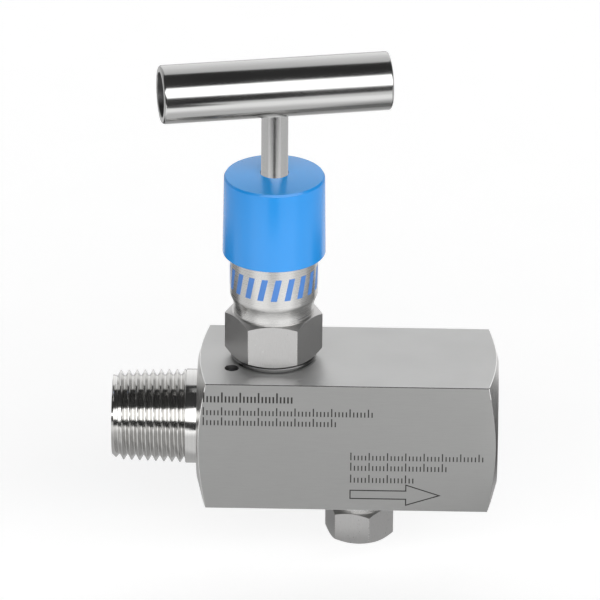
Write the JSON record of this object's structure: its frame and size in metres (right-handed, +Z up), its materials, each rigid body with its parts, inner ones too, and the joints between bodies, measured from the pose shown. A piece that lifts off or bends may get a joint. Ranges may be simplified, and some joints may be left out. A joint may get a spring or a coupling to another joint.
{
  "type": "needle valve",
  "caption": "Bar-stock needle valve with a male inlet thread, a female outlet port, a bleed plug, a blue dust cap and a T-bar handle.",
  "frame": {"origin": "where the stem's axis meets the body's flat underside", "axes": "+X along the flow, from the male inlet thread to the female outlet port; +Z up the stem to the handle; +Y to the valve's back, so that the face with the flow arrow looks along -Y"},
  "size_m": [0.0869, 0.0308, 0.1161],
  "materials": {
    "ground_body_steel": "ground along the flow, satin",
    "turned_steel": "turned, with fine rings",
    "polished_steel": "polished",
    "hard_steel": "hardened and oiled, dark",
    "cap_plastic": "smooth moulded blue, glossy",
    "white_ptfe": "waxy white"
  },
  "bodies": {
    "fixed_valve": {"valve_body": "ground_body_steel", "bonnet": "turned_steel", "bonnet_lock_pin": "hard_steel", "bonnet_seal_ring": "white_ptfe", "packing_washer": "turned_steel", "packing_base_ring": "white_ptfe", "packing_chevron_lower": "white_ptfe", "packing_chevron_middle": "white_ptfe", "packing_top_ring": "white_ptfe", "gland_bush": "turned_steel", "gland_nut": "turned_steel", "gland_lock_nut": "turned_steel", "dust_cap": "cap_plastic"},
    "needle_group": {"needle": "turned_steel", "thrust_ball": "hard_steel", "needle_clip": "hard_steel"},
    "stem_group": {"stem": "turned_steel", "t_handle": "polished_steel", "handle_core": "turned_steel", "handle_set_screw": "hard_steel"},
    "tape_group": {"bleed_thread_tape": "white_ptfe"},
    "plug_group": {"bleed_plug": "turned_steel"}
  },
  "joints": [
    {"name": "needle_lift", "type": "slide", "parent": "fixed_valve", "child": "needle_group", "axis": [0, 0, 1], "range_m": [0, 0.005]},
    {"name": "handle_turn", "type": "hinge", "parent": "needle_group", "child": "stem_group", "pos_m": [0, 0, 0.09655], "axis": [0, 0, 1], "range_deg": [0, 1800]},
    {"name": "plug_travel", "type": "slide", "parent": "fixed_valve", "child": "tape_group", "axis": [0, 0, -1], "range_m": [0, 0.00847]},
    {"name": "plug_turn", "type": "hinge", "parent": "tape_group", "child": "plug_group", "pos_m": [0.0197, 0, -0.005], "axis": [0, 0, -1], "range_deg": [0, 2160]}
  ],
  "couplings": [
    {"joint": "handle_turn", "follows": "needle_lift", "rad_per_m": 6283.2},
    {"joint": "plug_turn", "follows": "plug_travel", "rad_per_m": 4452.6}
  ]
}
